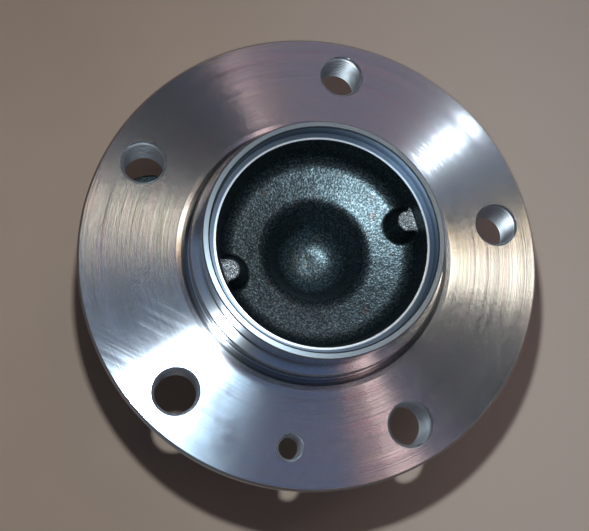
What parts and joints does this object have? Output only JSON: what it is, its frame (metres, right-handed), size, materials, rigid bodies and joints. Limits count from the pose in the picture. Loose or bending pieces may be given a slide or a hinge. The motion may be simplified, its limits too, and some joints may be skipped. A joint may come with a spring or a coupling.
{
  "type": "wheel hub bearing",
  "caption": "Wheel hub bearing unit: threaded wheel flange with two stepped pilots and a forged cup, turning on two ball rows in a flanged outer ring.",
  "frame": {"origin": "centre of the wheel bolt circle, on the wheel mounting face", "axes": "+Z along the bearing axis, outboard, out of the wheel mounting face; +Y towards the first wheel bolt hole; the disc screw's hole is at -Y"},
  "size_m": [0.144, 0.144, 0.0905],
  "materials": {
    "forged_steel": "turned bright faces with fine lathe lines; shot-blasted dark forging skin in the cup and on the flange's back",
    "ring_steel": "turned and ground where it fits, forging skin between the ears",
    "bearing_steel": "ground and polished",
    "sheet_steel": "drawn stainless sheet, satin",
    "seal_rubber": "moulded nitrile, matt",
    "encoder_rubber": "magnetised ferrite-filled rubber, matt",
    "cage_polyamide": "moulded glass-filled polyamide"
  },
  "bodies": {
    "outer_ring": {"outer_ring": "ring_steel", "outboard_seal_case": "sheet_steel", "outboard_seal_lip": "seal_rubber", "end_cap": "sheet_steel"},
    "hub": {"wheel_hub": "forged_steel", "inner_ring": "bearing_steel", "encoder_carrier": "sheet_steel", "encoder_ring": "encoder_rubber"},
    "outboard_row": {"outboard_cage": "cage_polyamide", "ball_outboard_01": "bearing_steel", "ball_outboard_02": "bearing_steel", "ball_outboard_03": "bearing_steel", "ball_outboard_04": "bearing_steel", "ball_outboard_05": "bearing_steel", "ball_outboard_06": "bearing_steel", "ball_outboard_07": "bearing_steel", "ball_outboard_08": "bearing_steel", "ball_outboard_09": "bearing_steel", "ball_outboard_10": "bearing_steel", "ball_outboard_11": "bearing_steel", "ball_outboard_12": "bearing_steel", "ball_outboard_13": "bearing_steel", "ball_outboard_14": "bearing_steel"},
    "inboard_row": {"inboard_cage": "cage_polyamide", "ball_inboard_01": "bearing_steel", "ball_inboard_02": "bearing_steel", "ball_inboard_03": "bearing_steel", "ball_inboard_04": "bearing_steel", "ball_inboard_05": "bearing_steel", "ball_inboard_06": "bearing_steel", "ball_inboard_07": "bearing_steel", "ball_inboard_08": "bearing_steel", "ball_inboard_09": "bearing_steel", "ball_inboard_10": "bearing_steel", "ball_inboard_11": "bearing_steel", "ball_inboard_12": "bearing_steel", "ball_inboard_13": "bearing_steel", "ball_inboard_14": "bearing_steel"}
  },
  "joints": [
    {"name": "hub_spin", "type": "hinge", "parent": "outer_ring", "child": "hub", "pos_m": [0, 0, 0], "axis": [0, 0, 1], "continuous": true},
    {"name": "outboard_row_spin", "type": "hinge", "parent": "outer_ring", "child": "outboard_row", "pos_m": [0, 0, -0.0305], "axis": [0, 0, 1], "continuous": true},
    {"name": "inboard_row_spin", "type": "hinge", "parent": "outer_ring", "child": "inboard_row", "pos_m": [0, 0, -0.0565], "axis": [0, 0, 1], "continuous": true}
  ],
  "couplings": [
    {"joint": "outboard_row_spin", "follows": "hub_spin", "ratio": 0.4285},
    {"joint": "inboard_row_spin", "follows": "hub_spin", "ratio": 0.4285}
  ]
}
